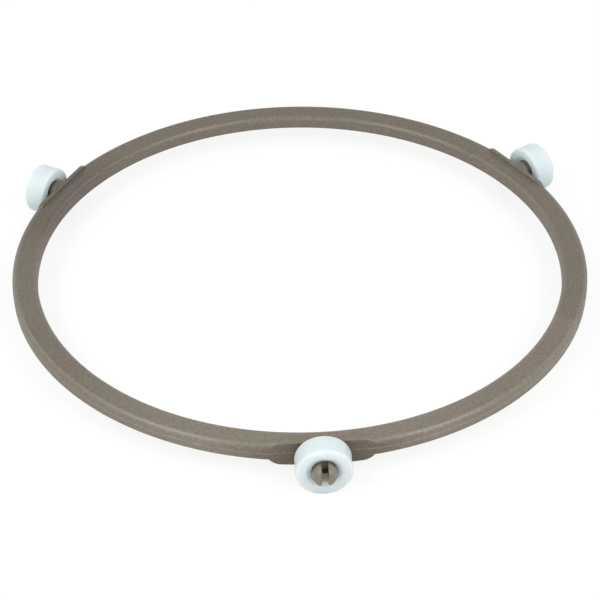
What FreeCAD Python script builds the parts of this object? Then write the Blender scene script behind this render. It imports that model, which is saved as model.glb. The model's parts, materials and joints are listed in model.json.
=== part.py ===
"""Roller ring of a microwave oven: one moulded ring with three snap axles, and a dished roller on each.

The ring lies flat on its rollers. The origin is at the ring's centre, on the surface that the rollers
run on, with +Z up and the front axle along -Y. Every body is drawn with its axle along +X and its parting
plane at z = 0, then turned to its place and raised by a roller's radius. All sizes are in millimetres.
"""
import FreeCAD, Part
import math
import os
import Sketcher

SEATS = ("front", "right", "left")
FIRST_AZIMUTH = -90.0
STEP_AZIMUTH = 360.0 / len(SEATS)
TOLERANCE = 1e-6

# Driving sizes: name, value, meaning
SIZES = (
    ("ring_diameter", 183.0, "outside diameter of the ring"),
    ("ring_width", 7.9, "radial width of the ring at its parting plane"),
    ("crown_inner", 2.75, "top of the ring above the parting plane at the inner wall"),
    ("crown_outer", 3.3, "top of the ring above the parting plane at the outer wall"),
    ("underside", 1.85, "flat underside below the parting plane"),
    ("wall_draft", 1.5, "lean of the inner wall away from the parting plane, in degrees"),
    ("top_edge_radius", 1.8, "rounding of the two top edges"),
    ("bottom_edge_radius", 0.3, "rounding of the two bottom edges"),
    ("flat_depth", 1.4, "how far each pad's face lies inside the ring's outer wall"),
    ("pad_length", 31.2, "length of a pad along the ring"),
    ("pad_height", 8.0, "height of a pad, half above and half below the axle"),
    ("pad_thickness", 1.6, "thickness of a pad behind its face"),
    ("pad_edge_radius", 0.6, "rounding round the face of a pad"),
    ("pad_back_radius", 0.3, "rounding round the back of a pad"),
    ("relief_length", 25.0, "length of the hollow in the ring's top behind each pad"),
    ("relief_width", 3.4, "from a pad's back to where that hollow's floor would reach the crown's height"),
    ("relief_depth", 0.75, "depth of that hollow below the outer crown, at the pad's back"),
    ("collar_diameter", 8.0, "collar that keeps the roller off the pad"),
    ("collar_length", 2.4, "collar from the pad's face to its end"),
    ("collar_chamfer", 0.4, "chamfer at the collar's end"),
    ("journal_diameter", 6.6, "part of the axle that the roller turns on"),
    ("bearing_clearance", 0.2, "radial clearance between the journal and the roller's bore"),
    ("end_play", 1.45, "how far a roller can slide along its journal"),
    ("barb_diameter", 7.5, "snap barb that holds the roller on"),
    ("barb_rise", 0.25, "length of the barb's return slope"),
    ("barb_land", 0.2, "short straight length at the barb's full diameter"),
    ("lead_length", 2.0, "length of the tapered lead-in outside the barb"),
    ("tip_diameter", 5.6, "diameter of the axle's tip"),
    ("tip_radius", 0.6, "rounding of the tip's edge"),
    ("slot_width", 1.85, "upright slot that splits the axle into two prongs"),
    ("slot_depth", 6.0, "depth of the slot from the tip"),
    ("roller_diameter", 16.2, "tread diameter of a roller"),
    ("roller_width", 7.1, "width of a roller over its faces"),
    ("tread_edge_radius", 0.9, "rounding between the tread and the outer face"),
    ("back_edge_radius", 0.9, "rounding between the tread and the inner face"),
    ("rim_width", 2.75, "from the tread to the mouth of the dish in the outer face"),
    ("dish_depth", 1.3, "depth of that dish, down to the bore"),
    ("hollow_clearance", 1.0, "radial gap from the collar to the mouth of the hollow in the inner face"),
    ("hollow_depth", 0.9, "depth of that hollow, down to the bore"),
    ("mouth_radius", 1.5, "rounding of the mouths of the dish and the hollow"),
    ("bore_edge_radius", 0.6, "rounding of both ends of the bore"),
    ("front_float", 0.1, "gap between the front roller's bore and its collar"),
    ("right_float", 1.4, "gap between the right roller's bore and its collar"),
    ("left_float", 0.75, "gap between the left roller's bore and its collar"),
)

# Lengths that several pieces share, as expressions on the sheet
OUTER_RADIUS = "sizes.ring_diameter / 2"
INNER_RADIUS = "(sizes.ring_diameter / 2 - sizes.ring_width)"
PAD_FACE = "(sizes.ring_diameter / 2 - sizes.flat_depth)"
PAD_BACK = f"({PAD_FACE} - sizes.pad_thickness)"
COLLAR_END = f"({PAD_FACE} + sizes.collar_length)"
BORE_LENGTH = "(sizes.roller_width - sizes.dish_depth - sizes.hollow_depth)"
BARB_BACK = f"({COLLAR_END} + {BORE_LENGTH} + sizes.end_play)"
BARB_START = f"({BARB_BACK} + sizes.barb_rise)"
LEAD_START = f"({BARB_START} + sizes.barb_land)"
TIP = f"({LEAD_START} + sizes.lead_length)"
BORE_RADIUS = "(sizes.journal_diameter / 2 + sizes.bearing_clearance)"
ROLLER_RADIUS = "sizes.roller_diameter / 2"

doc = FreeCAD.newDocument("roller_ring")


def make_sheet():
    """Spreadsheet with one aliased cell for each driving size."""
    sheet = doc.addObject("Spreadsheet::Sheet", "sizes")
    for row, (alias, value, meaning) in enumerate(SIZES, start=1):
        sheet.set(f"A{row}", meaning)
        sheet.set(f"B{row}", str(value))
        sheet.setAlias(f"B{row}", alias)
    doc.recompute()
    return sheet


def value_of(expression):
    """Number that an expression on the sheet gives."""
    return float(sheet.evalExpression(expression))


def new_body(label, azimuth):
    """Empty body turned about the ring's axis and raised to the height of the axles."""
    body = doc.addObject("PartDesign::Body", label)
    body.Label = label
    turn = FreeCAD.Rotation(FreeCAD.Vector(0, 0, 1), azimuth)
    body.Placement = FreeCAD.Placement(FreeCAD.Vector(0, 0, 0), turn)
    body.setExpression("Placement.Base.z", ROLLER_RADIUS)
    return body


def new_sketch(body, name, role, offset=None):
    """Sketch on one of the body's own planes, moved along the plane's normal by an expression."""
    plane = next(item for item in body.Origin.OriginFeatures if item.Role == role)
    sketch = body.newObject("Sketcher::SketchObject", name)
    sketch.AttachmentSupport = (plane, [""])
    sketch.MapMode = "FlatFace"
    if offset is not None:
        sketch.setExpression("AttachmentOffset.Base.z", offset)
    return sketch


def drive(sketch, kind, geometry, point, expression):
    """Ties one coordinate of a sketch point to an expression on the sheet."""
    if expression == "0":
        axis = -2 if kind == "DistanceX" else -1
        sketch.addConstraint(Sketcher.Constraint("PointOnObject", geometry, point, axis))
        return
    number = sketch.addConstraint(Sketcher.Constraint(kind, -1, 1, geometry, point, value_of(expression)))
    sketch.setExpression(f"Constraints[{number}]", expression)


def draw_outline(sketch, corners):
    """Closed outline of straight runs, each corner given by two expressions."""
    points = [FreeCAD.Vector(value_of(x), value_of(y), 0) for x, y in corners]
    count = len(points)
    for k in range(count):
        sketch.addGeometry(Part.LineSegment(points[k], points[(k + 1) % count]))
    for k in range(count):
        sketch.addConstraint(Sketcher.Constraint("Coincident", k, 2, (k + 1) % count, 1))
    for k, (x, y) in enumerate(corners):
        drive(sketch, "DistanceX", k, 1, x)
        drive(sketch, "DistanceY", k, 1, y)


def draw_obround(sketch, first, last, radius):
    """Obround on the sketch's horizontal axis: arcs of one radius about first and last, and two lines."""
    start = FreeCAD.Vector(value_of(first), 0, 0)
    end = FreeCAD.Vector(value_of(last), 0, 0)
    reach = value_of(radius)
    rise = FreeCAD.Vector(0, reach, 0)
    up = FreeCAD.Vector(0, 0, 1)
    quarter = math.pi / 2
    near = sketch.addGeometry(Part.ArcOfCircle(Part.Circle(start, up, reach), quarter, 3 * quarter))
    far = sketch.addGeometry(Part.ArcOfCircle(Part.Circle(end, up, reach), -quarter, quarter))
    low = sketch.addGeometry(Part.LineSegment(start - rise, end - rise))
    high = sketch.addGeometry(Part.LineSegment(end + rise, start + rise))
    sketch.addConstraint(Sketcher.Constraint("Tangent", near, 2, low, 1))
    sketch.addConstraint(Sketcher.Constraint("Tangent", low, 2, far, 1))
    sketch.addConstraint(Sketcher.Constraint("Tangent", far, 2, high, 1))
    sketch.addConstraint(Sketcher.Constraint("Tangent", high, 2, near, 1))
    sketch.addConstraint(Sketcher.Constraint("PointOnObject", near, 3, -1))
    sketch.addConstraint(Sketcher.Constraint("PointOnObject", far, 3, -1))
    drive(sketch, "DistanceX", near, 3, first)
    drive(sketch, "DistanceX", far, 3, last)
    number = sketch.addConstraint(Sketcher.Constraint("Radius", near, reach))
    sketch.setExpression(f"Constraints[{number}]", radius)


def revolve(body, name, sketch, axis):
    """Full turn of a sketch about one of its own axes."""
    feature = body.newObject("PartDesign::Revolution", name)
    feature.Profile = sketch
    feature.ReferenceAxis = (sketch, [axis])
    feature.Angle = 360.0
    doc.recompute()
    return feature


def round_edges(body, name, base, radius, wanted):
    """Rounding of those edges of a feature that the test picks out."""
    names = [f"Edge{k}" for k, edge in enumerate(base.Shape.Edges, start=1) if wanted(edge)]
    feature = body.newObject("PartDesign::Fillet", name)
    feature.Base = (base, names)
    feature.setExpression("Radius", f"sizes.{radius}")
    doc.recompute()
    return feature


def is_circle(edge):
    """True for an edge that is a circle or a stretch of one."""
    return isinstance(edge.Curve, Part.Circle)


def circle_at(radius, place, axis):
    """Test for the full circle of a given radius whose centre lies at a given place along an axis."""
    def wanted(edge):
        if not is_circle(edge):
            return False
        centre = getattr(edge.Curve.Center, axis)
        return abs(edge.Curve.Radius - radius) < TOLERANCE and abs(centre - place) < TOLERANCE
    return wanted


def in_plane(place):
    """Test for edges that lie in the plane x = place."""
    def wanted(edge):
        box = edge.BoundBox
        return abs(box.XMin - place) < TOLERANCE and abs(box.XMax - place) < TOLERANCE
    return wanted


def make_band():
    """The ring itself: a revolved section with rounded edges, and a flat and a hollow at each axle."""
    body = new_body("band", FIRST_AZIMUTH)
    section = new_sketch(body, "section", "XZ_Plane")
    draw_outline(section, (
        (f"{INNER_RADIUS} + tan(sizes.wall_draft) * sizes.underside", "-sizes.underside"),
        (OUTER_RADIUS, "-sizes.underside"),
        (OUTER_RADIUS, "sizes.crown_outer"),
        (f"{INNER_RADIUS} + tan(sizes.wall_draft) * sizes.crown_inner", "sizes.crown_inner"),
        (INNER_RADIUS, "0"),
    ))
    hoop = revolve(body, "hoop", section, "V_Axis")
    crown = round_edges(body, "crown_edges", hoop, "top_edge_radius",
                        lambda edge: is_circle(edge) and edge.Curve.Center.z > TOLERANCE)
    underside = -value_of("sizes.underside")
    sole = round_edges(body, "sole_edges", crown, "bottom_edge_radius",
                       lambda edge: is_circle(edge) and abs(edge.Curve.Center.z - underside) < TOLERANCE)

    flat = new_sketch(body, "flat_outline", "YZ_Plane", PAD_FACE)
    draw_outline(flat, (
        ("-sizes.pad_length", "-sizes.pad_height"),
        ("sizes.pad_length", "-sizes.pad_height"),
        ("sizes.pad_length", "sizes.pad_height"),
        ("-sizes.pad_length", "sizes.pad_height"),
    ))
    cut = body.newObject("PartDesign::Pocket", "flat")
    cut.Profile = flat
    cut.Reversed = True
    cut.setExpression("Length", "sizes.ring_width")
    doc.recompute()
    if not cut.Shape.Volume < sole.Shape.Volume - TOLERANCE:
        raise RuntimeError("the flat cut nothing from the ring")

    wedge = new_sketch(body, "relief_section", "XZ_Plane")
    draw_outline(wedge, (
        (f"{PAD_BACK} - sizes.relief_width", "sizes.crown_outer"),
        (PAD_BACK, "sizes.crown_outer - sizes.relief_depth"),
        (PAD_BACK, "sizes.crown_outer"),
    ))
    relief = body.newObject("PartDesign::Pocket", "relief")
    relief.Profile = wedge
    relief.Midplane = True
    relief.setExpression("Length", "sizes.relief_length")
    doc.recompute()
    if not relief.Shape.Volume < cut.Shape.Volume - TOLERANCE:
        raise RuntimeError("the hollow cut nothing from the ring")

    repeat = body.newObject("PartDesign::PolarPattern", "seats_round")
    repeat.Originals = [cut, relief]
    repeat.Axis = (section, ["V_Axis"])
    repeat.Angle = 360.0
    repeat.Occurrences = len(SEATS)
    body.Tip = repeat
    doc.recompute()
    return body


def make_seat(name, azimuth):
    """One obround pad with its collar, journal and split snap barb."""
    body = new_body(f"seat_{name}", azimuth)
    outline = new_sketch(body, f"pad_outline_{name}", "YZ_Plane", PAD_FACE)
    reach = "(sizes.pad_length / 2 - sizes.pad_height / 2)"
    draw_obround(outline, f"-{reach}", reach, "sizes.pad_height / 2")
    plate = body.newObject("PartDesign::Pad", f"pad_{name}")
    plate.Profile = outline
    plate.Reversed = True
    plate.setExpression("Length", "sizes.pad_thickness")
    doc.recompute()
    face_edges = in_plane(value_of(PAD_FACE))
    rounded = round_edges(body, f"pad_face_edges_{name}", plate, "pad_edge_radius", face_edges)
    round_edges(body, f"pad_back_edges_{name}", rounded, "pad_back_radius", in_plane(value_of(PAD_BACK)))

    profile = new_sketch(body, f"axle_profile_{name}", "XY_Plane")
    root = f"({PAD_FACE} - sizes.pad_thickness / 2)"
    collar = "sizes.collar_diameter / 2"
    journal = "sizes.journal_diameter / 2"
    barb = "sizes.barb_diameter / 2"
    draw_outline(profile, (
        (root, "0"),
        (TIP, "0"),
        (TIP, "sizes.tip_diameter / 2"),
        (LEAD_START, barb),
        (BARB_START, barb),
        (BARB_BACK, journal),
        (COLLAR_END, journal),
        (COLLAR_END, f"{collar} - sizes.collar_chamfer"),
        (f"{COLLAR_END} - sizes.collar_chamfer", collar),
        (root, collar),
    ))
    axle = revolve(body, f"axle_{name}", profile, "H_Axis")
    tip_edge = circle_at(value_of("sizes.tip_diameter / 2"), value_of(TIP), "x")
    tip = round_edges(body, f"tip_edge_{name}", axle, "tip_radius", tip_edge)

    slot = new_sketch(body, f"slot_outline_{name}", "XY_Plane")
    slot_half = "sizes.slot_width / 2"
    slot_end = f"{TIP} - sizes.slot_depth"
    beyond = f"{TIP} + sizes.slot_width"
    draw_outline(slot, (
        (slot_end, f"-{slot_half}"),
        (beyond, f"-{slot_half}"),
        (beyond, slot_half),
        (slot_end, slot_half),
    ))
    split = body.newObject("PartDesign::Pocket", f"slot_{name}")
    split.Profile = slot
    split.Midplane = True
    split.setExpression("Length", "2 * sizes.barb_diameter")
    doc.recompute()
    if not split.Shape.Volume < tip.Shape.Volume - TOLERANCE:
        raise RuntimeError("the slot cut nothing from the axle")
    body.Tip = split
    return body


def make_ring(parts):
    """One moulding: the band joined with its pads and axles."""
    ring = doc.addObject("Part::MultiFuse", "ring")
    ring.Label = "ring"
    ring.Shapes = parts
    ring.Refine = True
    doc.recompute()
    return ring


def make_roller(name, azimuth):
    """Roller with a soft-edged tread, a bore, a dish in its outer face and a hollow round the collar."""
    body = new_body(f"roller_{name}", azimuth)
    bore_in = f"({COLLAR_END} + sizes.{name}_float)"
    bore_out = f"({bore_in} + {BORE_LENGTH})"
    face_out = f"({bore_out} + sizes.dish_depth)"
    face_in = f"({bore_in} - sizes.hollow_depth)"
    dish = f"({ROLLER_RADIUS} - sizes.rim_width)"
    hollow = "(sizes.collar_diameter / 2 + sizes.hollow_clearance)"
    profile = new_sketch(body, f"roller_profile_{name}", "XY_Plane")
    draw_outline(profile, (
        (bore_in, BORE_RADIUS),
        (bore_out, BORE_RADIUS),
        (face_out, dish),
        (face_out, ROLLER_RADIUS),
        (face_in, ROLLER_RADIUS),
        (face_in, hollow),
    ))
    wheel = revolve(body, f"wheel_{name}", profile, "H_Axis")
    tread_edge = circle_at(value_of(ROLLER_RADIUS), value_of(face_out), "x")
    tread = round_edges(body, f"tread_edge_{name}", wheel, "tread_edge_radius", tread_edge)
    back_edge = circle_at(value_of(ROLLER_RADIUS), value_of(face_in), "x")
    back = round_edges(body, f"back_edge_{name}", tread, "back_edge_radius", back_edge)
    dish_mouth = circle_at(value_of(dish), value_of(face_out), "x")
    hollow_mouth = circle_at(value_of(hollow), value_of(face_in), "x")
    mouths = round_edges(body, f"mouths_{name}", back, "mouth_radius",
                         lambda edge: dish_mouth(edge) or hollow_mouth(edge))
    bore = value_of(BORE_RADIUS)
    body.Tip = round_edges(body, f"bore_edges_{name}", mouths, "bore_edge_radius",
                           lambda edge: is_circle(edge) and abs(edge.Curve.Radius - bore) < TOLERANCE)
    return body


sheet = make_sheet()
azimuths = {name: FIRST_AZIMUTH + k * STEP_AZIMUTH for k, name in enumerate(SEATS)}
band = make_band()
seats = [make_seat(name, azimuths[name]) for name in SEATS]
nodes = [make_ring([band] + seats)]
nodes += [make_roller(name, azimuths[name]) for name in SEATS]
doc.recompute()

failed = [item.Label for item in doc.Objects if "Invalid" in item.State or "Error" in item.State]
if failed:
    raise RuntimeError(f"objects that failed: {failed}")
for node in nodes:
    if node.Shape.isNull() or not node.Shape.isValid() or len(node.Shape.Solids) != 1:
        raise RuntimeError(f"{node.Label} is not one valid solid")

os.makedirs("parts", exist_ok=True)
for node in nodes:
    node.Shape.exportStep(f"parts/{node.Label}.step")
    box = node.Shape.optimalBoundingBox()
    print(f"{node.Label}: volume {node.Shape.Volume:.1f} mm3, z {box.ZMin:.2f} to {box.ZMax:.2f} mm")
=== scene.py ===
# %% [markdown]
# # A microwave roller ring, dressed over its CAD frame
# The object is one moulded ring with three flat pads, a split snap axle on each pad, and a white roller
# on each axle. The CAD model fixes where each body is and how large it is. This lesson gives each piece a
# smooth, closed mesh worked out as a surface of two parameters, adds a few small marks of the moulding,
# and gives each plastic its own finish.

# %% Load the frame
import json
import math

import bmesh
import bpy
import numpy as np
from mathutils import Matrix, Vector


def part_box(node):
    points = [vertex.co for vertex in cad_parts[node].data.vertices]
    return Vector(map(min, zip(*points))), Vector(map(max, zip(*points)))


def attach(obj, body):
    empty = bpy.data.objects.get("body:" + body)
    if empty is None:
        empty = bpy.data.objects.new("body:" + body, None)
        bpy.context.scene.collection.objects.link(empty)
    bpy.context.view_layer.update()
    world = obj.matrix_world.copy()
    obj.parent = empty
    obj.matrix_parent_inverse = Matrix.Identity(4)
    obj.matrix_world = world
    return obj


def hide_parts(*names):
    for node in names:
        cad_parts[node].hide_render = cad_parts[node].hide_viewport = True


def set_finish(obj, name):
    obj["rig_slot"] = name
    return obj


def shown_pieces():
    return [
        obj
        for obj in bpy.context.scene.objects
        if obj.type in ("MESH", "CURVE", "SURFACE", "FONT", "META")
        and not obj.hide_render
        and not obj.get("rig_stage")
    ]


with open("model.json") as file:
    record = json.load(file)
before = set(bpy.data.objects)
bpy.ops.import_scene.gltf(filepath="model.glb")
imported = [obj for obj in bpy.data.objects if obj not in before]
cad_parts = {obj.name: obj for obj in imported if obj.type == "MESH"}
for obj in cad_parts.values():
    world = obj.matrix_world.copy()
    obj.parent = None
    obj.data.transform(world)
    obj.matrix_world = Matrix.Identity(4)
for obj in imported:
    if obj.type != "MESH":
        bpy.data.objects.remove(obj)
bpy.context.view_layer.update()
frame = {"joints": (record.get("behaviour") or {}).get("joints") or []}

# %% [markdown]
# ## Measures
# Blender works in metres, and a moulder thinks in millimetres, so every size of the part is written in
# millimetres and scaled once, when a mesh is made. The floor, the lamps and the camera's clipping are
# given in metres. What the frame already knows is read from it: the ring's radius, the height of the
# axles, the direction of each axle, which is its hinge's axis, and the place of each roller along its
# axle. Most of the other sizes repeat those of the CAD part.

# %% Read the frame's own measures
MM = 0.001
RING_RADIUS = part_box("ring")[1].x / MM
AXLE_HEIGHT = frame["joints"][0]["pos_m"][2] / MM
SEATS = {}
BORE_MIDDLE = {}
for joint in frame["joints"]:
    seat = joint["child"].removeprefix("roller_")
    SEATS[seat] = np.array(joint["axis"])
    BORE_MIDDLE[seat] = np.linalg.norm(joint["pos_m"][:2]) / MM
print(f"ring radius {RING_RADIUS:.2f} mm, axles at {AXLE_HEIGHT:.2f} mm, seats {list(SEATS)}")

# %% [markdown]
# ## Camera
# The photograph looks down on the ring with a long lens from a little to the left of the front roller.
# The camera is placed by an azimuth, an elevation and a distance from the ring's centre. Then it is
# tipped slightly down and rolled by a third of a degree, as a hand-held or quickly levelled camera is.

# %% Place the camera
CAMERA_AZIMUTH = math.radians(-3.8)
CAMERA_ELEVATION = math.radians(36.44)
CAMERA_DISTANCE = 557.4
CAMERA_TIP = math.radians(1.261)
CAMERA_ROLL = math.radians(-0.348)
SENSOR_WIDTH = 36.0
LENS = 104.07
NEAR_CLIP = 0.01


def towards(azimuth, elevation):
    """Unit vector towards a place given by its angle round from the front and its angle above the floor."""
    return Vector((
        math.sin(azimuth) * math.cos(elevation),
        -math.cos(azimuth) * math.cos(elevation),
        math.sin(elevation),
    ))


back = towards(CAMERA_AZIMUTH, CAMERA_ELEVATION)
right = Vector((math.cos(CAMERA_AZIMUTH), math.sin(CAMERA_AZIMUTH), 0))
axes = Matrix((right, back.cross(right), back)).transposed().to_4x4()
spot = Vector((0, 0, AXLE_HEIGHT)) + back * CAMERA_DISTANCE

camera_data = bpy.data.cameras.new("camera")
camera_data.sensor_fit = "HORIZONTAL"
camera_data.sensor_width = SENSOR_WIDTH
camera_data.lens = LENS
camera_data.clip_start = NEAR_CLIP
camera = bpy.data.objects.new("camera", camera_data)
bpy.context.scene.collection.objects.link(camera)
tipped = axes @ Matrix.Rotation(-CAMERA_TIP, 4, "X") @ Matrix.Rotation(CAMERA_ROLL, 4, "Z")
camera.matrix_world = Matrix.Translation(spot * MM) @ tipped
bpy.context.scene.camera = camera
bpy.context.scene.view_settings.view_transform = "Standard"
print("camera at, mm:", [round(v) for v in spot])

# %% [markdown]
# ## Nodes and colours
# Every material below is a small graph of nodes. One function adds a node, sets it up and links its
# inputs, so that a material reads as a list of steps. Two more write out the nodes that come up most: one
# step of arithmetic, and a ramp. Colours are written as sRGB hex values, as a colour picker shows them,
# and are turned to the linear values that the shaders work in.

# %% Helpers for materials
WHITE = (1, 1, 1, 1)


def linear(hex_colour):
    """Linear RGBA of an sRGB hex colour: below 0.04045 the curve is straight, above it a power of 2.4."""
    srgb = np.array([int(hex_colour[k:k + 2], 16) for k in (1, 3, 5)]) / 255
    rgb = np.where(srgb <= 0.04045, srgb / 12.92, ((srgb + 0.055) / 1.055) ** 2.4)
    return (*rgb.tolist(), 1.0)


def add(tree, kind, settings=None, **inputs):
    """Adds a node; settings are its properties, and each input is a value or another node's output socket."""
    node = tree.nodes.new(kind)
    for name, value in (settings or {}).items():
        setattr(node, name, value)
    for name, value in inputs.items():
        key = int(name[1:]) if name[0] == "_" else name.replace("_", " ")
        if isinstance(value, bpy.types.NodeSocket):
            tree.links.new(value, node.inputs[key])
        else:
            node.inputs[key].default_value = value
    return node


def maths(tree, operation, first, second=0.0):
    """Socket with the result of one operation on one or two numbers."""
    return add(tree, "ShaderNodeMath", {"operation": operation}, _0=first, _1=second).outputs[0]


def ramp(tree, value, start, end, low=0.0, high=1.0, smooth=False):
    """Socket that goes from low to high as a value goes from start to end, evenly or eased at both ends."""
    settings = {"interpolation_type": "SMOOTHSTEP" if smooth else "LINEAR"}
    node = add(tree, "ShaderNodeMapRange", settings, Value=value, From_Min=start, From_Max=end,
               To_Min=low, To_Max=high)
    return node.outputs[0]


def new_tree(owner):
    """Empties the node tree of a material or world and returns it."""
    owner.use_nodes = True
    owner.node_tree.nodes.clear()
    return owner.node_tree


# %% [markdown]
# ## Floor and surroundings
# The photograph was taken on white, as if in a light tent: upright and level faces are nearly equally
# bright, and only hollows are dark. So most of the light comes from even white surroundings. The floor is
# white where the camera sees it, partly by its own glow, so that only a faint shadow of the ring stays on
# it. What the satin ring mirrors is brightest low down, where the white backdrop stands, and straight
# overhead, where the tent's top is lit, and it is dimmer in between.

# %% Make the floor and the surroundings
FLOOR_HALF = 3.0
FLOOR_GLOW = 0.80
FLOOR_SHADE = 0.22
FLOOR_PAPER = "#E6E6E6"
BACKDROP_LIGHT = 0.55
BACKDROP_TOP = math.sin(math.radians(15))
DIM_FROM = math.sin(math.radians(45))
DIM_TO = math.sin(math.radians(58))
DIM_SHARE = 0.35
OVERHEAD_FROM = math.sin(math.radians(76))

floor_mesh = bpy.data.meshes.new("floor")
floor_corners = FLOOR_HALF * np.array([(-1, -1, 0), (1, -1, 0), (1, 1, 0), (-1, 1, 0)])
floor_mesh.from_pydata(floor_corners.tolist(), [], [(0, 1, 2, 3)])
floor = bpy.data.objects.new("floor", floor_mesh)
bpy.context.scene.collection.objects.link(floor)
floor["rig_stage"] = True


def seen_directly(tree):
    """Socket that is 1 for camera, glossy and transmission rays, and 0 for rays that carry light about."""
    path = add(tree, "ShaderNodeLightPath").outputs
    mirrored = maths(tree, "MAXIMUM", path["Is Camera Ray"], path["Is Glossy Ray"])
    return maths(tree, "MAXIMUM", mirrored, path["Is Transmission Ray"])


floor_finish = bpy.data.materials.new("white_paper_floor")
tree = new_tree(floor_finish)
paper = add(tree, "ShaderNodeBsdfDiffuse", Color=linear(FLOOR_PAPER))
shade = add(tree, "ShaderNodeBsdfDiffuse", Color=(FLOOR_SHADE, FLOOR_SHADE, FLOOR_SHADE, 1))
glow = add(tree, "ShaderNodeEmission", Color=WHITE, Strength=FLOOR_GLOW)
bright = add(tree, "ShaderNodeAddShader", _0=shade.outputs[0], _1=glow.outputs[0])
camera_ray = add(tree, "ShaderNodeLightPath").outputs["Is Camera Ray"]
either = add(tree, "ShaderNodeMixShader", _0=camera_ray, _1=paper.outputs[0], _2=bright.outputs[0])
add(tree, "ShaderNodeOutputMaterial", Surface=either.outputs[0])
floor_mesh.materials.append(floor_finish)

world = bpy.data.worlds.new("white_studio")
bpy.context.scene.world = world
tree = new_tree(world)
outward = add(tree, "ShaderNodeTexCoord").outputs["Generated"]
height = add(tree, "ShaderNodeSeparateXYZ", Vector=outward).outputs["Z"]
fall = ramp(tree, height, BACKDROP_TOP, DIM_FROM, 1.0, DIM_SHARE, smooth=True)
rise = ramp(tree, height, DIM_TO, OVERHEAD_FROM, DIM_SHARE, 1.0, smooth=True)
mirrored = maths(tree, "MAXIMUM", fall, rise)
strength = add(tree, "ShaderNodeMix", _0=seen_directly(tree), _2=BACKDROP_LIGHT, _3=mirrored)
backdrop = add(tree, "ShaderNodeBackground", Color=WHITE, Strength=strength.outputs[0])
add(tree, "ShaderNodeOutputWorld", Surface=backdrop.outputs[0])
print("stage:", floor_finish.name, "under", world.name)

# %% [markdown]
# ## Lamps
# Two soft lamps, left and right in front, draw the pale streaks on the ring's rounded edges. Three weaker
# ones stand for the brighter walls of the tent: one low in front, which reaches into the roller's dish,
# and one on either side, a little to the back, which lift the inner edge of the ring. Each lamp is given
# by its angle round from the camera, its angle above the floor and its power in watts.

# %% Hang the soft lamps
LAMP_DISTANCE = 0.9
LAMP_SIZE = 0.5
LAMPS = {
    "softbox_left": (-53, 44, 2.6),
    "softbox_right": (53, 44, 2.6),
    "fill_front": (0, 22, 0.75),
    "fill_left": (-109, 33, 0.85),
    "fill_right": (109, 33, 0.5),
}

for name, (turn, elevation, power) in LAMPS.items():
    lamp_data = bpy.data.lights.new(name, "AREA")
    lamp_data.shape = "SQUARE"
    lamp_data.size = LAMP_SIZE
    lamp_data.energy = power
    lamp = bpy.data.objects.new(name, lamp_data)
    bpy.context.scene.collection.objects.link(lamp)
    aim = towards(CAMERA_AZIMUTH + math.radians(turn), math.radians(elevation))
    facing = aim.to_track_quat("Z", "Y").to_matrix().to_4x4()
    lamp.matrix_world = Matrix.Translation(aim * LAMP_DISTANCE) @ facing
print("lit by", list(LAMPS))

# %% [markdown]
# ## From a grid of points to a mesh
# Each surface is computed as a grid: rows follow one parameter, columns the other. A grid that closes on
# itself, as a turned roller does, is wrapped so that its last column meets its first. Where a row shrinks
# to a point or a line, the repeated points are merged, which closes the pole without stray faces.

# %% Helpers for meshes
MERGE_DISTANCE = 0.0005
SHARP_ANGLE = math.radians(38)


def grid_faces(rows, columns, wrap_rows):
    """Quads of a grid whose columns always close round, and whose rows do so where asked."""
    index = np.arange(rows * columns).reshape(rows, columns)
    index = np.hstack([index, index[:, :1]])
    if wrap_rows:
        index = np.vstack([index, index[:1]])
    corners = [index[:-1, :-1], index[1:, :-1], index[1:, 1:], index[:-1, 1:]]
    return np.stack(corners, axis=-1).reshape(-1, 4)


def make_piece(name, body, shells, slot):
    """One object of closed shells, each a grid of points in millimetres and whether its rows wrap round."""
    points, faces, count = [], [], 0
    for grid, wrap_rows in shells:
        rows, columns = grid.shape[:2]
        points.append(grid.reshape(-1, 3) * MM)
        faces.append(grid_faces(rows, columns, wrap_rows) + count)
        count += rows * columns
    mesh = bpy.data.meshes.new(name)
    mesh.from_pydata(np.vstack(points).tolist(), [], np.vstack(faces).tolist())
    shape = bmesh.new()
    shape.from_mesh(mesh)
    bmesh.ops.remove_doubles(shape, verts=shape.verts, dist=MERGE_DISTANCE * MM)
    bmesh.ops.dissolve_degenerate(shape, edges=shape.edges, dist=MERGE_DISTANCE * MM)
    bmesh.ops.recalc_face_normals(shape, faces=shape.faces)
    open_edges = sum(not edge.is_manifold for edge in shape.edges)
    shape.to_mesh(mesh)
    shape.free()
    mesh.shade_smooth()
    mesh.set_sharp_from_angle(angle=SHARP_ANGLE)
    piece = bpy.data.objects.new(name, mesh)
    bpy.context.scene.collection.objects.link(piece)
    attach(piece, body)
    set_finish(piece, slot)
    print(f"{name}: {len(mesh.polygons)} faces, {open_edges} open edges")
    return piece


# %% [markdown]
# ## Rounded outlines
# A moulding has few sharp edges, so most sections here are outlines with rounded corners. Drawing the
# arcs by hand would be slow to change. Instead the corners are listed with a radius each, and the arcs
# are worked out for all of them at once. The straight runs get points that crowd towards their ends,
# which keeps the shading flat between arcs. Two small functions then place an outline's points in the
# frame: one by radius and azimuth round the ring, the other along and across an axle.

# %% Helpers for outlines
ARC_STEPS = 10
RUN_STEPS = 8


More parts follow.
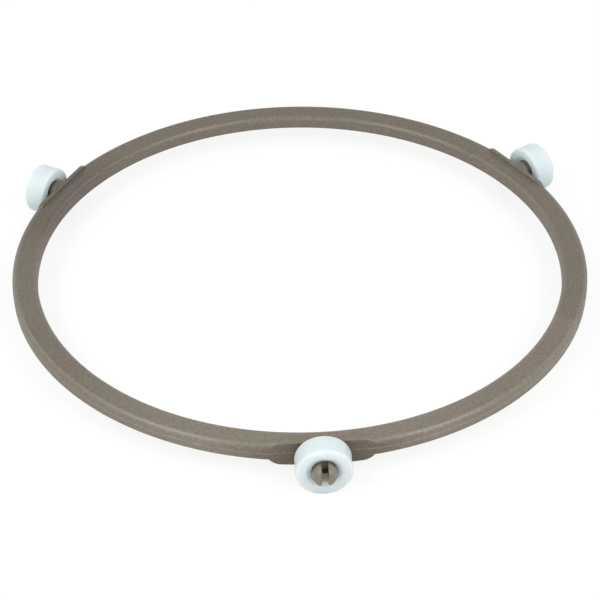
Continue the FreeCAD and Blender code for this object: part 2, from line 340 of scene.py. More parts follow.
def rounded_outline(corners, radii, run_steps=None):
    """Closed outline with its corners rounded; run_steps may give each straight run its own number of points.

    An arc of radius r that touches both sides of a corner starts r * tan(turn / 2) before it, and its centre
    lies r to the inner side of that start. The spoke from the centre to the start is turned in equal steps by
    the turn.
    """
    corners = np.array(corners, float)
    radii = np.array(radii, float)[:, None]
    before = corners - np.roll(corners, 1, axis=0)
    before /= np.linalg.norm(before, axis=1, keepdims=True)
    after = np.roll(before, -1, axis=0)
    cross = before[:, 0] * after[:, 1] - before[:, 1] * after[:, 0]
    turn = np.arctan2(cross, (before * after).sum(axis=1))[:, None]
    reach = radii * np.tan(np.abs(turn) / 2)
    start = corners - before * reach
    end = corners + after * reach
    inward = np.stack([-before[:, 1], before[:, 0]], axis=1) * np.sign(turn)
    centre = start + inward * radii
    spoke = start - centre
    angle = turn * np.linspace(0, 1, ARC_STEPS)
    turned_spoke = np.stack([
        spoke[:, :1] * np.cos(angle) - spoke[:, 1:] * np.sin(angle),
        spoke[:, :1] * np.sin(angle) + spoke[:, 1:] * np.cos(angle),
    ], axis=-1)
    arcs = centre[:, None] + turned_spoke
    runs = zip(arcs, end, np.roll(start, -1, axis=0), run_steps or [RUN_STEPS] * len(corners))
    lines = []
    for arc, first, last, steps in runs:
        share = (1 - np.cos(np.pi * np.arange(1, steps + 1) / (steps + 1))) / 2
        lines += [arc, first + (last - first) * share[:, None]]
    return np.vstack(lines)


def round_ring(radius, azimuth, height):
    """Points given by radius, azimuth and height above the axles, as points of the frame."""
    places = np.broadcast_arrays(radius * np.cos(azimuth), radius * np.sin(azimuth), height + AXLE_HEIGHT)
    return np.stack(places, axis=-1)


def on_axle(along, across, up, direction):
    """Points given along an axle, across it and up from it, as points of the frame."""
    sideways = np.array([-direction[1], direction[0], 0])
    upward = np.array([0, 0, 1])
    level = along[..., None] * direction + across[..., None] * sideways
    return level + (AXLE_HEIGHT + up)[..., None] * upward


# %% [markdown]
# ## The ring
# The ring is one section carried round a circle. Its top slopes gently inwards between two generous
# roundings, and its underside is flat. At each axle the mould cuts a flat across the outer wall. Behind
# the pad that stands there it leaves a shallow hollow in the ring's top, with a narrow rib left standing
# behind the axle, so that the plastic is not too thick where the pad joins it.

# %% Measure the ring
RING_WIDTH = 7.9
CROWN_INNER = 2.75
CROWN_OUTER = 3.3
UNDERSIDE = 1.85
WALL_DRAFT = math.tan(math.radians(1.5))
TOP_EDGE = 1.8
BOTTOM_EDGE = 0.3
PARTING_RISE = 0.05
FLAT_DEPTH = 1.4
FLAT_BEHIND_PAD = 0.02
PAD_THICKNESS = 1.6
RELIEF_LENGTH = 25.0
RELIEF_WIDTH = 3.4
RELIEF_DEPTH = 0.55
RELIEF_RUNOUT = 1.0
RELIEF_FLAT = 0.7
RELIEF_SOFTNESS = 0.1
FOOT_WIDTH = 1.2
FOOT_RISE = 0.45
RIB_HALF_WIDTH = 1.0
RING_STEPS = 720
RING_RUN_STEPS = (8, 6, 30, 6, 6)

PAD_FACE = RING_RADIUS - FLAT_DEPTH
PAD_BACK = PAD_FACE - PAD_THICKNESS
azimuths = np.arange(RING_STEPS) * 2 * np.pi / RING_STEPS
seat_azimuths = np.array([math.atan2(axis[1], axis[0]) for axis in SEATS.values()])
seat_spacing = 2 * np.pi / len(SEATS)
from_seat = (azimuths - seat_azimuths[0] + seat_spacing / 2) % seat_spacing - seat_spacing / 2
FLAT_LIMIT = PAD_FACE / np.cos(from_seat)
print(f"flats at {PAD_FACE:.2f} mm from the centre")

# %% [markdown]
# A circle and straight cuts need no boolean here. Along a flat, no point may lie further out than the
# flat's distance divided by the cosine of the angle from the axle, so the radius is simply limited to
# that. In a hollow, no point may lie above the hollow's floor, so the height is limited too, with a soft
# minimum that leaves no crease.

# %% Make the ring


def around_ring(outline):
    """Grid of an outline carried round the ring, cut back to the flats at the axles.

    An outline's points have a radius, a height and a distance by which they may stand out from a flat.
    """
    radius = np.minimum(outline[:, :1], FLAT_LIMIT + outline[:, 2:])
    return round_ring(radius, azimuths, outline[:, 1:2])


def hollowed(grid):
    """Lowers a ring's grid into the hollows behind the pads.

    A hollow's floor is flat next to the pad, then rises evenly towards the ring's centre. Three rises are
    added: a fillet at the pad's foot, which falls as a square; a rib behind the axle, a bell curve of the
    distance aside; and a parabola past each end. The new height is the soft minimum of the floor and the old
    height: the lower one less k * log(1 + exp(-gap / k)).
    """
    radius = np.hypot(grid[..., 0], grid[..., 1])
    inward = np.maximum(PAD_BACK - radius * np.cos(from_seat), 0)
    aside = np.abs(radius * np.sin(from_seat))
    past_end = np.maximum(aside - RELIEF_LENGTH / 2 + RELIEF_RUNOUT, 0)
    slope = np.clip((inward - RELIEF_FLAT) / (RELIEF_WIDTH - RELIEF_FLAT), 0, 1)
    foot = FOOT_RISE * np.maximum(1 - inward / FOOT_WIDTH, 0) ** 2
    rib = RELIEF_DEPTH * np.exp(-(aside / RIB_HALF_WIDTH) ** 2)
    rise = RELIEF_DEPTH * slope + foot + rib + RELIEF_DEPTH * (past_end / RELIEF_RUNOUT) ** 2
    floor_height = AXLE_HEIGHT + CROWN_OUTER - RELIEF_DEPTH + rise
    lower = np.minimum(grid[..., 2], floor_height)
    gap = np.abs(grid[..., 2] - floor_height)
    soft = lower - RELIEF_SOFTNESS * np.log1p(np.exp(-gap / RELIEF_SOFTNESS))
    return np.dstack([grid[..., :2], soft])


inner = RING_RADIUS - RING_WIDTH
wall = RING_RADIUS - PARTING_RISE
section = rounded_outline(
    [(inner + WALL_DRAFT * UNDERSIDE, -UNDERSIDE), (wall, -UNDERSIDE), (wall, CROWN_OUTER),
     (inner + WALL_DRAFT * CROWN_INNER, CROWN_INNER), (inner, 0)],
    [BOTTOM_EDGE, BOTTOM_EDGE, TOP_EDGE, TOP_EDGE, BOTTOM_EDGE],
    RING_RUN_STEPS,
)
behind_pad = np.full((len(section), 1), -FLAT_BEHIND_PAD)
band = hollowed(around_ring(np.hstack([section, behind_pad])))
ring = make_piece("ring_band", "ring", [(band, True)], "ring_plastic")
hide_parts("ring")

# %% [markdown]
# ## The parting line
# Where the two halves of the mould met, a hair of plastic stands proud all round, just above the height
# of the axles. It shows as a fine pale line on the outer wall and across the pads, where it catches the
# light: its paler finish is a painted highlight. A bump map could draw it, but it would not catch the
# light at the outline. So it is a tiny half-round bead carried along the same path as the wall, flats
# included.

# %% Make the parting line
PARTING_HEIGHT = 0.4
BEAD_HALF_WIDTH = 0.16
BEAD_STEPS = 12

bead_angle = np.arange(BEAD_STEPS) * 2 * np.pi / BEAD_STEPS
bead_rise = PARTING_RISE * np.cos(bead_angle)
bead_height = PARTING_HEIGHT + BEAD_HALF_WIDTH * np.sin(bead_angle)
bead = np.stack([wall + bead_rise, bead_height, bead_rise], axis=1)
make_piece("parting_line", "ring", [(around_ring(bead), True)], "ring_plastic")

# %% [markdown]
# ## The gate scar
# The melt entered the mould at one point of the inner wall, beside the left pad, and the sprue was cut
# off there. What is left is a low oval scar along the top of the wall. It is a flattened ball bent round
# the wall: one parameter runs round the oval, the other from the middle of the outer side over its rim to
# the middle of the buried side.

# %% Make the gate scar
GATE_AZIMUTH = math.radians(153.6)
GATE_HEIGHT = 1.15
SCAR_HALF_LENGTH = 1.9
SCAR_HALF_HEIGHT = 0.35
SCAR_RISE = 0.08
SCAR_STEPS = 48

around = np.arange(SCAR_STEPS) * 2 * np.pi / SCAR_STEPS
over = np.linspace(0, np.pi, SCAR_STEPS // 2)[:, None]
scar_height = GATE_HEIGHT + SCAR_HALF_HEIGHT * np.sin(over) * np.sin(around)
scar_radius = inner + WALL_DRAFT * np.abs(scar_height) - SCAR_RISE * np.cos(over)
scar_azimuth = GATE_AZIMUTH + SCAR_HALF_LENGTH * np.sin(over) * np.cos(around) / inner
scar = round_ring(scar_radius, scar_azimuth, scar_height)
make_piece("gate_scar", "ring", [(scar, False)], "ring_plastic")

# %% [markdown]
# ## The witness line
# At the left, where the inner wall passes into the top rounding, two parts of the mould met a hair out of
# step. The shade in that step is painted as a fine dark line. It is a very flat bead again, but it
# does not run all round, so its cross-section shrinks to nothing at both ends: its size follows the
# square root of a half sine. The bead lies on the rounding, so it is laid out by an angle about the
# rounding's centre.

# %% Make the witness line
WITNESS_FROM = math.radians(132)
WITNESS_TO = math.radians(181)
WITNESS_TILT = math.radians(69)
WITNESS_HALF_WIDTH = 0.15
WITNESS_RISE = 0.012
WITNESS_STEPS = 240

share = np.linspace(0, 1, WITNESS_STEPS)[:, None]
witness_azimuth = WITNESS_FROM + (WITNESS_TO - WITNESS_FROM) * share
swell = np.sqrt(np.maximum(np.sin(np.pi * share), 0))
line_rise = TOP_EDGE + WITNESS_RISE * swell * np.cos(bead_angle)
line_tilt = WITNESS_TILT + WITNESS_HALF_WIDTH / TOP_EDGE * swell * np.sin(bead_angle)
top_slope = math.atan2(CROWN_OUTER - CROWN_INNER, wall - inner - WALL_DRAFT * CROWN_INNER)
arc_start = section[3 * ARC_STEPS + sum(RING_RUN_STEPS[:3])]
arc_middle = arc_start + TOP_EDGE * np.array([math.sin(top_slope), -math.cos(top_slope)])
line_radius = arc_middle[0] - line_rise * np.sin(line_tilt)
line_height = arc_middle[1] + line_rise * np.cos(line_tilt)
witness = round_ring(line_radius, witness_azimuth, line_height)
make_piece("witness_line", "ring", [(witness, False)], "ring_plastic")

# %% [markdown]
# ## The pads
# Each axle stands on a flat pad with round ends, a plate that reaches above and below the ring, and its
# lower edge bulges a little under the axle. The outline is a straight line of points with a half circle
# at each end, and every outline inside it has the same straight length and a smaller radius. So the plate
# is a grid too: columns run round the outline, and rows run from the middle of the face, over the rounded
# rim and down to the middle of the back. An extruded curve would be quicker to draw, but its rim could
# not have two roundings.

# %% Helper for pads
PAD_LENGTH = 31.2
PAD_HEIGHT = 8.0
PAD_FACE_EDGE = 0.6
PAD_BACK_EDGE = 0.3
PAD_BELLY = 0.8
PAD_BELLY_HALF = 13.5
PAD_END_STEPS = 48
PAD_SIDE_STEPS = 40


def pad_shell(direction):
    """Closed plate: each point is the foot on the middle line plus a reach along the outline's own normal.

    Below the middle line, heights are stretched by a parabola across the pad, which bulges the lower edge.
    """
    end_turn = np.linspace(-np.pi / 2, np.pi / 2, PAD_END_STEPS)
    half_line = (PAD_LENGTH - PAD_HEIGHT) / 2
    line = np.linspace(-half_line, half_line, PAD_SIDE_STEPS + 2)[1:-1]
    upper_side = np.full(PAD_SIDE_STEPS, np.pi / 2)
    right_end = np.full(PAD_END_STEPS, half_line)
    normal_turn = np.concatenate([end_turn, upper_side, end_turn + np.pi, -upper_side])
    foot = np.concatenate([right_end, line[::-1], -right_end, line])
    radius = PAD_HEIGHT / 2
    rim = rounded_outline(
        [(PAD_BACK, -radius), (PAD_FACE, -radius), (PAD_FACE, radius), (PAD_BACK, radius)],
        [PAD_BACK_EDGE, PAD_FACE_EDGE, PAD_FACE_EDGE, PAD_BACK_EDGE],
    )
    upper = rim[rim[:, 1] > 0]
    along = np.concatenate([[PAD_FACE], upper[:, 0], [PAD_BACK]])[:, None]
    reach = np.concatenate([[0], upper[:, 1], [0]])[:, None]
    across = foot + reach * np.cos(normal_turn)
    up = reach * np.sin(normal_turn)
    belly = PAD_BELLY * np.maximum(1 - (across / PAD_BELLY_HALF) ** 2, 0)
    up = np.where(up < 0, up * (1 + belly / radius), up)
    return on_axle(np.broadcast_to(along, across.shape), across, up, direction)


# %% [markdown]
# ## The split axles
# An axle is turned in outline: a collar that keeps the roller off the pad, a journal for it to run on,
# and a barb that it is snapped over. A slot splits it into two prongs, which spring together as the
# roller goes on. In the slot, two bars join the prongs: a thin sloping web near the tip, and a low floor
# at the back.

# %% Measure the axles
COLLAR_RADIUS = 4.0
COLLAR_LENGTH = 2.4
COLLAR_CHAMFER = 0.4
JOURNAL_RADIUS = 3.3
BORE_LENGTH = 4.9
END_PLAY = 1.45
BARB_RADIUS = 3.75
BARB_RISE = 0.25
BARB_LAND = 0.2
LEAD_LENGTH = 2.0
TIP_RADIUS = 2.8
TIP_EDGE = 0.6
SLOT_EDGE = 0.35
SLOT_HALF = 0.925
SLOT_DEPTH = 6.0
PRONG_EDGE = 0.35
PRONG_SUNK = 0.4
PRONG_SUNK_INSET = 0.05
PRONG_STEPS = 40
ROOT_STEPS = 128
WEB_REAR = 0.6
WEB_FRONT = -0.6
WEB_THICKNESS = 0.35
WEB_LENGTH = 2.1
WEB_SETBACK = 0.1
FLOOR_TOP = -2.0
FLOOR_BOTTOM = -3.0
FLOOR_SETBACK = 4.5
BAR_EDGE = 0.12

ROOT = PAD_FACE - PAD_THICKNESS / 2
COLLAR_END = PAD_FACE + COLLAR_LENGTH
BARB_BACK = COLLAR_END + BORE_LENGTH + END_PLAY
LEAD_START = BARB_BACK + BARB_RISE + BARB_LAND
TIP = LEAD_START + LEAD_LENGTH
SLOT_END = TIP - SLOT_DEPTH
print(f"axles reach {TIP:.2f} mm from the centre")

# %% [markdown]
# The root is a plain turned shape. A prong is a half-moon section carried along the axle: an arc, a
# straight side along the slot, and a small rounding where they meet. A bar is a rounded outline carried
# across the slot. Cutting the slot with a boolean would be shorter, but it leaves long thin faces that
# shade badly.

# %% Helpers for axles


def turned(profile, direction, steps):
    """Profile of distance along an axle and radius, turned once about the axle."""
    angle = np.arange(steps) * 2 * np.pi / steps
    along = np.broadcast_to(profile[:, :1], (len(profile), steps))
    return on_axle(along, profile[:, 1:] * np.cos(angle), profile[:, 1:] * np.sin(angle), direction)


def prong_shell(side, direction):
    """One prong: half-moon sections along the axle, each an arc of the turned profile cut off along the slot.

    The section is grown by a small rounding from a smaller half-moon, so both of its corners are rounded: a
    point is the smaller shape's point plus the rounding along the normal.
    """
    rim_turn = np.linspace(0, np.pi / 2, ARC_STEPS)
    rounding = 1 - np.cos(rim_turn)
    rim_along = TIP - TIP_EDGE * (1 - np.sin(rim_turn))
    lead_at = TIP_RADIUS + (BARB_RADIUS - TIP_RADIUS) * (TIP - rim_along) / LEAD_LENGTH
    shank = np.array([
        (SLOT_END - PRONG_SUNK, JOURNAL_RADIUS - PRONG_SUNK_INSET), (SLOT_END, JOURNAL_RADIUS),
        (BARB_BACK, JOURNAL_RADIUS), (BARB_BACK + BARB_RISE, BARB_RADIUS), (LEAD_START, BARB_RADIUS),
    ])
    along = np.concatenate([shank[:, 0], rim_along])[:, None]
    radius = np.concatenate([shank[:, 1], lead_at - TIP_EDGE * rounding])[:, None]
    chord = SLOT_HALF + np.concatenate([np.zeros(len(shank)), SLOT_EDGE * rounding])[:, None]
    core = radius - PRONG_EDGE
    core_chord = chord + PRONG_EDGE
    half_angle = np.arccos(core_chord / core)
    arc_turn = half_angle * np.linspace(-1, 1, PRONG_STEPS)
    corner_turn = half_angle + (np.pi - half_angle) * np.linspace(0, 1, ARC_STEPS)
    corner_up = core * np.sin(half_angle)
    line_up = corner_up * np.linspace(1, -1, PRONG_STEPS)[1:-1]
    across = np.hstack([
        radius * np.cos(arc_turn),
        core_chord + PRONG_EDGE * np.cos(corner_turn),
        np.broadcast_to(chord, line_up.shape),
        core_chord + PRONG_EDGE * np.cos(corner_turn[:, ::-1]),
    ])
    up = np.hstack([
        radius * np.sin(arc_turn),
        corner_up + PRONG_EDGE * np.sin(corner_turn),
        line_up,
        -corner_up - PRONG_EDGE * np.sin(corner_turn[:, ::-1]),
    ])
    caps = np.broadcast_to(across.mean(axis=1, keepdims=True), across.shape)
    across = np.vstack([caps[:1], across, caps[-1:]])
    up = np.vstack([np.zeros_like(up[:1]), up, np.zeros_like(up[:1])])
    along = np.vstack([along[:1], along, along[-1:]])
    return on_axle(np.broadcast_to(along, across.shape), side * across, up, direction)


def bar_shell(corners, direction):
    """Bar between the prongs: an outline of distance along the axle and height, carried across the slot."""
    outline = rounded_outline(corners, [BAR_EDGE] * len(corners))
    middle = outline.mean(axis=0)
    half = SLOT_HALF + PRONG_EDGE
    reach = np.array([0, 1, 1, 0])[:, None]
    along = middle[0] + (outline[:, 0] - middle[0]) * reach
    up = middle[1] + (outline[:, 1] - middle[1]) * reach
    across = np.array([-half, -half, half, half])[:, None]
    return on_axle(along, np.broadcast_to(across, up.shape), up, direction)


# %% [markdown]
# The three seats are alike, so one loop makes a pad and an axle for each of them. An axle's five shells,
# the root, two prongs and two bars, run a little into each other and make one piece.

# %% Make the three seats
root_profile = np.array([
    (ROOT, 0), (ROOT, COLLAR_RADIUS), (COLLAR_END - COLLAR_CHAMFER, COLLAR_RADIUS),
    (COLLAR_END, COLLAR_RADIUS - COLLAR_CHAMFER), (COLLAR_END, JOURNAL_RADIUS), (SLOT_END, JOURNAL_RADIUS),
    (SLOT_END, 0),
])
web_tip = TIP - WEB_SETBACK
web_rear = web_tip - WEB_LENGTH
web_corners = [
    (web_rear, WEB_REAR - WEB_THICKNESS), (web_tip, WEB_FRONT - WEB_THICKNESS), (web_tip, WEB_FRONT),
    (web_rear, WEB_REAR),
]
floor_tip = TIP - FLOOR_SETBACK
floor_rear = SLOT_END - PRONG_SUNK
slot_floor_corners = [
    (floor_rear, FLOOR_BOTTOM), (floor_tip, FLOOR_BOTTOM), (floor_tip, FLOOR_TOP), (floor_rear, FLOOR_TOP),
]
for name, direction in SEATS.items():
    make_piece(f"pad_{name}", "ring", [(pad_shell(direction), False)], "ring_plastic")
    make_piece(f"axle_{name}", "ring", [
        (turned(root_profile, direction, ROOT_STEPS), False),
        (prong_shell(1, direction), False),
        (prong_shell(-1, direction), False),
        (bar_shell(web_corners, direction), False),
        (bar_shell(slot_floor_corners, direction), False),
    ], "ring_plastic")

# %% [markdown]
# ## The rollers
# A roller is a turned shape: a tread with soft edges, a bore, a shallow dish in the outer face, and a
# hollow in the inner face that the collar enters. The thick rim shrank a little as it cooled, so the
# tread has a faint waist. The section is a rounded outline that closes on itself, so the turned grid
# closes both ways and needs no caps. The wide bend at the waist and the roundings take a little off the
# tread, so the section is scaled back to its full radius. Each roller takes its place along its axle from
# its own hinge.

# %% Make the three rollers
ROLLER_RADIUS = AXLE_HEIGHT
TREAD_EDGE = 0.9
BACK_EDGE = 0.9
RIM_WIDTH = 2.75
DISH_DEPTH = 1.3
HOLLOW_CLEARANCE = 1.0
HOLLOW_DEPTH = 0.9
MOUTH_EDGE = 1.5
BORE_RADIUS = 3.5
BORE_EDGE = 0.6
WAIST_DEPTH = 0.28
WAIST_FROM_BACK = 2.7
WAIST_BEND = 20.0
ROLLER_STEPS = 192


def roller_profile(bore_middle):
    """Section of a roller: distance along the axle and radius, from the bore round by the outer face."""
    bore_in = bore_middle - BORE_LENGTH / 2
    bore_out = bore_middle + BORE_LENGTH / 2
    face_out = bore_out + DISH_DEPTH
    face_in = bore_in - HOLLOW_DEPTH
    profile = rounded_outline(
        [(bore_in, BORE_RADIUS), (bore_out, BORE_RADIUS), (face_out, ROLLER_RADIUS - RIM_WIDTH),
         (face_out, ROLLER_RADIUS), (face_in + WAIST_FROM_BACK, ROLLER_RADIUS - WAIST_DEPTH),
         (face_in, ROLLER_RADIUS), (face_in, COLLAR_RADIUS + HOLLOW_CLEARANCE)],
        [BORE_EDGE, BORE_EDGE, MOUTH_EDGE, TREAD_EDGE, WAIST_BEND, BACK_EDGE, MOUTH_EDGE],
    )
    profile[:, 1] *= ROLLER_RADIUS / profile[:, 1].max()
    return profile


for name, direction in SEATS.items():
    shell = turned(roller_profile(BORE_MIDDLE[name]), direction, ROLLER_STEPS)
    roller = make_piece(f"roller_{name}_moulding", f"roller_{name}", [(shell, True)], "roller_plastic")
    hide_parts(f"roller_{name}")

# %% [markdown]
# ## Filled polymer, taupe
# The ring is moulded in a mineral-filled engineering plastic that bears the oven's heat. Its mould was
# spark-eroded, so the surface is satin and finely grained, with a soft streak on the rounded edges and no
# mirror image. The grain is about a third of a millimetre, drawn coarser so that it shows.
#
# The melt ran both ways round from the gate and met on the far side, in a weld. Around the gate, beside
# the left seat, the skin is darker: that is painted shade cast by the left roller and pad. The front
# stretch is paler, partly from the melt, which filled it last, and partly as painted sheen on the side
# towards the camera; it wanes a little towards the weld and ends there in a small step. An angle measured
# from the gate, which jumps just at the weld, gives all of that.
# Within a few millimetres of the weld the tone is lifted a little. A painted texture could do it too, but
# an angle needs no picture and no unwrapping.

# %% Helper for the melt's marks
PALE_FROM = math.radians(55)
PALE_TO = math.radians(95)
PALE_RANGE = (0.79, 1.0)
SHEEN_RANGE = (0.75, 0.85)
WANE_FROM = math.radians(132)
WANE_TO = math.radians(158)
WANE_SHARE = 0.9
GATE_PAINTED_SHADE = 0.76
GATE_PAINTED_SHADE_FROM = math.radians(8)
GATE_PAINTED_SHADE_TO = math.radians(24)
WELD_HALF_WIDTH = 3.0
WELD_LIFT = 1.05


def melt_marks(tree, place):
    """Sockets of tone and sheen on the way round from the gate.

    The tone is a product of four ramps. Three follow the angle from the gate: the pale stretch, which is
    part melt and part painted sheen; the painted shade near the gate; and the waning. The fourth follows
    the distance from the weld, on the far side alone.
    """
    from_gate = add(tree, "ShaderNodeVectorRotate", {"rotation_type": "Z_AXIS"}, Vector=place,
                    Angle=-GATE_AZIMUTH)
    part = add(tree, "ShaderNodeSeparateXYZ", Vector=from_gate.outputs[0]).outputs
    angle = maths(tree, "ARCTAN2", part["Y"], part["X"])
    stretch = ramp(tree, angle, PALE_FROM, PALE_TO, smooth=True)
    wane = ramp(tree, angle, WANE_FROM, WANE_TO, 1.0, WANE_SHARE, smooth=True)
    either_way = maths(tree, "ABSOLUTE", angle)
    # Painted shade: darker round the gate, where the left roller and pad shade the ring.
    shade = ramp(tree, either_way, GATE_PAINTED_SHADE_FROM, GATE_PAINTED_SHADE_TO, GATE_PAINTED_SHADE, 1.0, smooth=True)
    aside = maths(tree, "ABSOLUTE", part["Y"])
    lift = ramp(tree, aside, 0.0, WELD_HALF_WIDTH * MM, WELD_LIFT, 1.0, smooth=True)
    far_side = maths(tree, "LESS_THAN", part["X"], 0.0)
    weld = add(tree, "ShaderNodeMix", _0=far_side, _2=1.0, _3=lift).outputs[0]
    # The pale front stretch is partly the melt and partly painted sheen on the side towards the camera.
    tone = ramp(tree, stretch, 0.0, 1.0, *PALE_RANGE)
    for mark in (weld, shade, wane):
        tone = maths(tree, "MULTIPLY", tone, mark)
    return tone, ramp(tree, stretch, 0.0, 1.0, *SHEEN_RANGE)


# %% [markdown]
# ## Painted shade round the axles
# Around each axle the outward faces are painted darker and duller: this is painted shade of the roller,
# which stands close in front of the pad. It is strongest next to the axle and fades along the wall. All
# three seats are alike, so the angle round the ring is folded into one third of a turn, and one ramp
# serves all of them.

# %% Helper for the painted axle shade
AXLE_SHADE_FROM = math.radians(5)
AXLE_SHADE_TO = math.radians(22)
FACE_FROM = 0.4
FACE_TO = 0.9


def painted_axle_shade(tree, place, share):
    """Painted shade: a share on outward faces near an axle, and 0 far from it or on other faces.

    A face looks outward by the dot product of its normal and the level direction away from the centre.
    """
    level = add(tree, "ShaderNodeVectorMath", {"operation": "MULTIPLY"}, _0=place, _1=(1, 1, 0))
    outward = add(tree, "ShaderNodeVectorMath", {"operation": "NORMALIZE"}, _0=level.outputs[0])
    normal = add(tree, "ShaderNodeNewGeometry").outputs["Normal"]
    facing = add(tree, "ShaderNodeVectorMath", {"operation": "DOT_PRODUCT"}, _0=outward.outputs[0], _1=normal)
    on_face = ramp(tree, facing.outputs["Value"], FACE_FROM, FACE_TO, 0.0, share)
    part = add(tree, "ShaderNodeSeparateXYZ", Vector=place).outputs
    turn = maths(tree, "ARCTAN2", part["Y"], part["X"])
    first = seat_azimuths[0]
    folded = add(tree, "ShaderNodeMath", {"operation": "WRAP"}, _0=turn, _1=first + seat_spacing / 2,
                 _2=first - seat_spacing / 2)
    from_axle = maths(tree, "ABSOLUTE", maths(tree, "SUBTRACT", folded.outputs[0], first))
    return ramp(tree, from_axle, AXLE_SHADE_FROM, AXLE_SHADE_TO, on_face, 0.0, smooth=True)


# %% [markdown]
# ## The ring's finishes
# One function mixes the plastic, and four finishes come from it. The spark-eroded skin has the painted
# shade round the axles. The parting line and the gate scar are paler, a painted highlight where they
# catch the light. The witness line is dark, painted shade in its step, and the axles have the plain skin,
# so these two have no painted shade round the axles.

# %% Make the ring's finishes
GRAIN_SIZE = 0.85
GRAIN_DETAIL = 2.0
GRAIN_SPAN = (0.3, 0.7)
FLECK_RANGE = (0.79, 1.21)
SATIN_RANGE = (0.34, 0.44)
GRAIN_STRENGTH = 0.3
GRAIN_HEIGHT = 0.04
FLOW_SIZE = 14.0
FLOW_DETAIL = 3.0
FLOW_ROUGHNESS = 0.6
AXLE_SHADE_SHEEN = 0.3
AXLE_SHADE_TONE = 0.70
POLYMER_IOR = 1.55


def filled_polymer(name, dark, pale, axle_shade_share):
    """Satin plastic drifting between two hex colours, times tones of melt, painted axle shade and grain."""
    material = bpy.data.materials.new(name)
    tree = new_tree(material)
    place = add(tree, "ShaderNodeTexCoord").outputs["Object"]
    flow = add(tree, "ShaderNodeTexNoise", Vector=place, Scale=1 / (FLOW_SIZE * MM), Detail=FLOW_DETAIL,
               Roughness=FLOW_ROUGHNESS)
    grain = add(tree, "ShaderNodeTexNoise", Vector=place, Scale=1 / (GRAIN_SIZE * MM), Detail=GRAIN_DETAIL)
    drift = add(tree, "ShaderNodeMix", {"data_type": "RGBA"}, _0=flow.outputs[0], _6=linear(dark),
                _7=linear(pale))
    tone, sheen = melt_marks(tree, place)
    # Painted shade round the axles: a darker tone and less sheen on outward faces there.
    axle_shade = painted_axle_shade(tree, place, axle_shade_share)
    sheen = maths(tree, "MULTIPLY", sheen, ramp(tree, axle_shade, 0.0, 1.0, 1.0, AXLE_SHADE_SHEEN))
    tone = maths(tree, "MULTIPLY", tone, ramp(tree, axle_shade, 0.0, 1.0, 1.0, AXLE_SHADE_TONE))
    tone = maths(tree, "MULTIPLY", tone, ramp(tree, grain.outputs[0], *GRAIN_SPAN, *FLECK_RANGE))
    colour = add(tree, "ShaderNodeMix", {"data_type": "RGBA", "blend_type": "MULTIPLY"}, _0=1.0,
                 _6=drift.outputs[2], _7=tone)
    satin = ramp(tree, grain.outputs[0], *GRAIN_SPAN, *SATIN_RANGE)
    bump = add(tree, "ShaderNodeBump", Height=grain.outputs[0], Strength=GRAIN_STRENGTH,
               Distance=GRAIN_HEIGHT * MM)
    plastic = add(tree, "ShaderNodeBsdfPrincipled", Base_Color=colour.outputs[2], Roughness=satin,
                  IOR=POLYMER_IOR, Specular_IOR_Level=sheen, Normal=bump.outputs[0])
    add(tree, "ShaderNodeOutputMaterial", Surface=plastic.outputs[0])
    print("made", name)
    return material


satin_polymer = filled_polymer("filled_polymer_spark_eroded", "#766C5D", "#7E7465", 1.0)
# A paler finish for the parting line and the gate scar: a painted highlight where they catch the light.
highlight_polymer = filled_polymer("filled_polymer_rubbed", "#8A8072", "#938A7C", 1.0)
# A dark finish for the witness line: painted shade in the mould's step.
shade_line_polymer = filled_polymer("filled_polymer_grimed", "#564D41", "#5F5649", 0.0)
axle_polymer = filled_polymer("filled_polymer_run_in", "#766C5D", "#7E7465", 0.0)

# %% [markdown]
# ## Acetal, white
# The rollers are moulded in a slippery white plastic such as acetal. It is a cool, faintly translucent
# white: light enters a few millimetres and comes out softened, which lifts the shadows in the dish. Its
# skin is flatter than the ring's, with a faint grain that softens the sheen. A wide, faint cloud of
# colour keeps the white from looking painted.

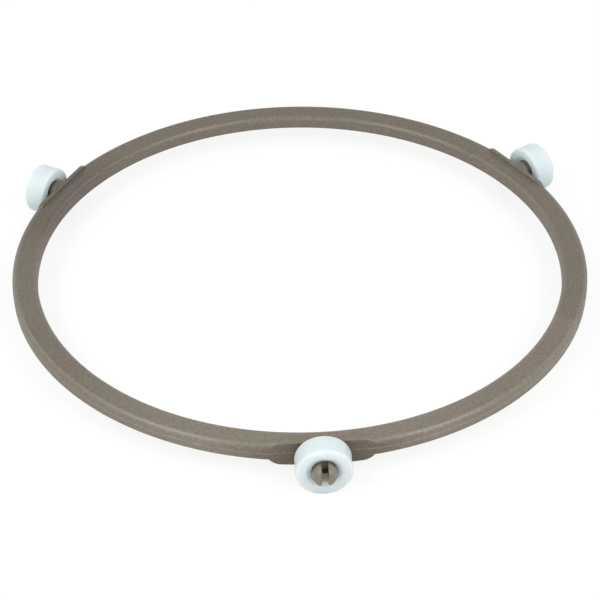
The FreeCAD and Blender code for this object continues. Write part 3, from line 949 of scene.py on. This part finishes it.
# %% Make the rollers' finish
CLOUD_SIZE = 6.0
CLOUD_DARK = "#D5E1E4"
CLOUD_PALE = "#DBE6E8"
SKIN_SIZE = 0.8
SKIN_SPAN = (0.3, 0.7)
POLISH_RANGE = (0.40, 0.48)
SKIN_STRENGTH = 0.1
SKIN_HEIGHT = 0.02
SKIN_DETAIL = 2.0
ACETAL_IOR = 1.48
ACETAL_DEPTH = 5.0

acetal = bpy.data.materials.new("acetal_white")
tree = new_tree(acetal)
place = add(tree, "ShaderNodeTexCoord").outputs["Object"]
cloud = add(tree, "ShaderNodeTexNoise", Vector=place, Scale=1 / (CLOUD_SIZE * MM), Detail=SKIN_DETAIL)
tint = add(tree, "ShaderNodeMix", {"data_type": "RGBA"}, _0=cloud.outputs[0], _6=linear(CLOUD_DARK),
           _7=linear(CLOUD_PALE))
skin = add(tree, "ShaderNodeTexNoise", Vector=place, Scale=1 / (SKIN_SIZE * MM), Detail=SKIN_DETAIL)
polish = ramp(tree, skin.outputs[0], *SKIN_SPAN, *POLISH_RANGE)
bump = add(tree, "ShaderNodeBump", Height=skin.outputs[0], Strength=SKIN_STRENGTH, Distance=SKIN_HEIGHT * MM)
plastic = add(tree, "ShaderNodeBsdfPrincipled", {"subsurface_method": "RANDOM_WALK"},
              Base_Color=tint.outputs[2], Roughness=polish, IOR=ACETAL_IOR, Subsurface_Weight=1.0,
              Subsurface_Radius=(1.0, 1.0, 1.0), Subsurface_Scale=ACETAL_DEPTH * MM, Normal=bump.outputs[0])
add(tree, "ShaderNodeOutputMaterial", Surface=plastic.outputs[0])
print("made", acetal.name)

# %% [markdown]
# ## Giving out the finishes
# Each piece has a slot that says which plastic it is made of, and the slot gives its finish. A few pieces
# of the ring are the same plastic with a different surface, so they are named one by one.

# %% Give every piece its finish
FINISHES = {"ring_plastic": satin_polymer, "roller_plastic": acetal}
# The parting line and gate scar take a painted highlight, the witness line painted shade.
OWN_FINISHES = {"parting_line": highlight_polymer, "gate_scar": highlight_polymer, "witness_line": shade_line_polymer}
OWN_FINISHES |= {f"axle_{name}": axle_polymer for name in SEATS}
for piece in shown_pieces():
    piece.data.materials.clear()
    piece.data.materials.append(OWN_FINISHES.get(piece.name, FINISHES[piece["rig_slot"]]))
    print(piece.name, "finished in", piece.data.materials[0].name)
